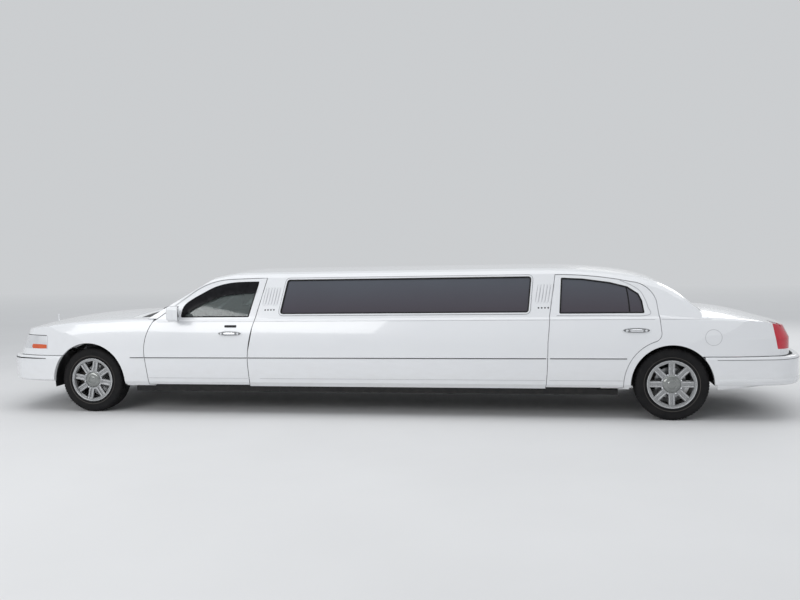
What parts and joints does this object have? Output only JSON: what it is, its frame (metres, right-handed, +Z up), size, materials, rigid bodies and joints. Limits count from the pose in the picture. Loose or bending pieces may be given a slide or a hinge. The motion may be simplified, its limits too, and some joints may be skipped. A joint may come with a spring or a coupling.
{
  "type": "stretch limousine",
  "caption": "Long white stretch limousine with hinged doors, hood and trunk lid, steered front wheels and a hollow cabin.",
  "frame": {"origin": "on the ground, below the middle of the overall box", "axes": "-X to the nose, -Y to the car's left side, +Z up"},
  "size_m": [8.4608, 2.238, 1.5079],
  "materials": {
    "white_paint": "glossy white paint",
    "black_frame": "satin black underbody paint",
    "tinted_glass": "dark tinted glass",
    "clear_glass": "lightly tinted glass",
    "lamp_clear": "clear lamp cover",
    "lamp_red": "red lamp cover",
    "bright_metal": "bright metal",
    "black_plastic": "black plastic",
    "alloy": "machined alloy",
    "tyre": "black rubber",
    "iron": "cast iron",
    "steel": "dull steel",
    "engine_iron": "cast iron",
    "trim_grey": "grey interior plastic",
    "upholstery": "dark grey leather",
    "cabinet_wood": "dark lacquered board"
  },
  "bodies": {
    "body": {"stretch_panels": "white_paint", "roof_panel": "white_paint", "rear_roof": "white_paint", "front_fenders": "white_paint", "quarter_panels": "white_paint", "cowl_panel": "black_plastic", "header_panel": "white_paint", "grille": "bright_metal", "headlamps": "lamp_clear", "tail_lamps": "lamp_red", "front_bumper": "white_paint", "rear_bumper": "white_paint", "fixed_glass": "tinted_glass", "chassis_frame": "black_frame", "firewall": "black_frame", "floor_pan": "black_frame", "engine_block": "engine_iron", "front_suspension": "black_frame", "rear_axle": "iron", "exhaust": "steel", "fuel_tank": "black_plastic", "dashboard": "trim_grey", "seats": "upholstery", "cabin_fittings": "cabinet_wood"},
    "front_door_left": {"door_front_left": "white_paint", "glass_front_left": "clear_glass"},
    "front_door_right": {"door_front_right": "white_paint", "glass_front_right": "clear_glass"},
    "rear_door_left": {"door_rear_left": "white_paint", "glass_rear_left": "tinted_glass"},
    "rear_door_right": {"door_rear_right": "white_paint", "glass_rear_right": "tinted_glass"},
    "hood_lid": {"hood": "white_paint"},
    "trunk": {"trunk_lid": "white_paint"},
    "steering": {"steering_wheel": "trim_grey"},
    "left_knuckle": {"knuckle_left": "iron"},
    "right_knuckle": {"knuckle_right": "iron"},
    "wheel_front_left": {"rim_front_left": "alloy", "tyre_front_left": "tyre"},
    "wheel_front_right": {"rim_front_right": "alloy", "tyre_front_right": "tyre"},
    "wheel_rear_left": {"rim_rear_left": "alloy", "tyre_rear_left": "tyre"},
    "wheel_rear_right": {"rim_rear_right": "alloy", "tyre_rear_right": "tyre"}
  },
  "joints": [
    {"name": "steer_left", "type": "hinge", "parent": "body", "child": "left_knuckle", "pos_m": [-3.099, -0.735, 0.349], "axis": [0, 0, 1], "range_deg": [-30, 30]},
    {"name": "steer_right", "type": "hinge", "parent": "body", "child": "right_knuckle", "pos_m": [-3.099, 0.735, 0.349], "axis": [0, 0, 1], "range_deg": [-30, 30]},
    {"name": "steering_wheel_turn", "type": "hinge", "parent": "body", "child": "steering", "pos_m": [-2.135, -0.37, 0.862], "axis": [0.9023, 0, 0.4311], "range_deg": [-540, 540]},
    {"name": "spin_front_left", "type": "hinge", "parent": "left_knuckle", "child": "wheel_front_left", "pos_m": [-3.099, -0.805, 0.349], "axis": [0, 1, 0], "continuous": true},
    {"name": "spin_front_right", "type": "hinge", "parent": "right_knuckle", "child": "wheel_front_right", "pos_m": [-3.099, 0.805, 0.349], "axis": [0, 1, 0], "continuous": true},
    {"name": "spin_rear_left", "type": "hinge", "parent": "body", "child": "wheel_rear_left", "pos_m": [2.939, -0.832, 0.349], "axis": [0, 1, 0], "continuous": true},
    {"name": "spin_rear_right", "type": "hinge", "parent": "body", "child": "wheel_rear_right", "pos_m": [2.939, 0.832, 0.349], "axis": [0, 1, 0], "continuous": true},
    {"name": "front_door_left_hinge", "type": "hinge", "parent": "body", "child": "front_door_left", "pos_m": [-2.395, -0.955, 0.65], "axis": [0, 0, -1], "range_deg": [0, 65]},
    {"name": "front_door_right_hinge", "type": "hinge", "parent": "body", "child": "front_door_right", "pos_m": [-2.395, 0.955, 0.65], "axis": [0, 0, 1], "range_deg": [0, 65]},
    {"name": "rear_door_left_hinge", "type": "hinge", "parent": "body", "child": "rear_door_left", "pos_m": [1.807, -0.955, 0.65], "axis": [0, 0, -1], "range_deg": [0, 65]},
    {"name": "rear_door_right_hinge", "type": "hinge", "parent": "body", "child": "rear_door_right", "pos_m": [1.807, 0.955, 0.65], "axis": [0, 0, 1], "range_deg": [0, 65]},
    {"name": "hood_hinge", "type": "hinge", "parent": "body", "child": "hood_lid", "pos_m": [-2.587, 0, 1.026], "axis": [0, 1, 0], "range_deg": [0, 50]},
    {"name": "trunk_hinge", "type": "hinge", "parent": "body", "child": "trunk", "pos_m": [3.209, 0, 1.026], "axis": [0, -1, 0], "range_deg": [0, 60]}
  ],
  "couplings": [
    {"joint": "steer_right", "follows": "steer_left", "ratio": 1},
    {"joint": "steering_wheel_turn", "follows": "steer_left", "ratio": 18}
  ]
}
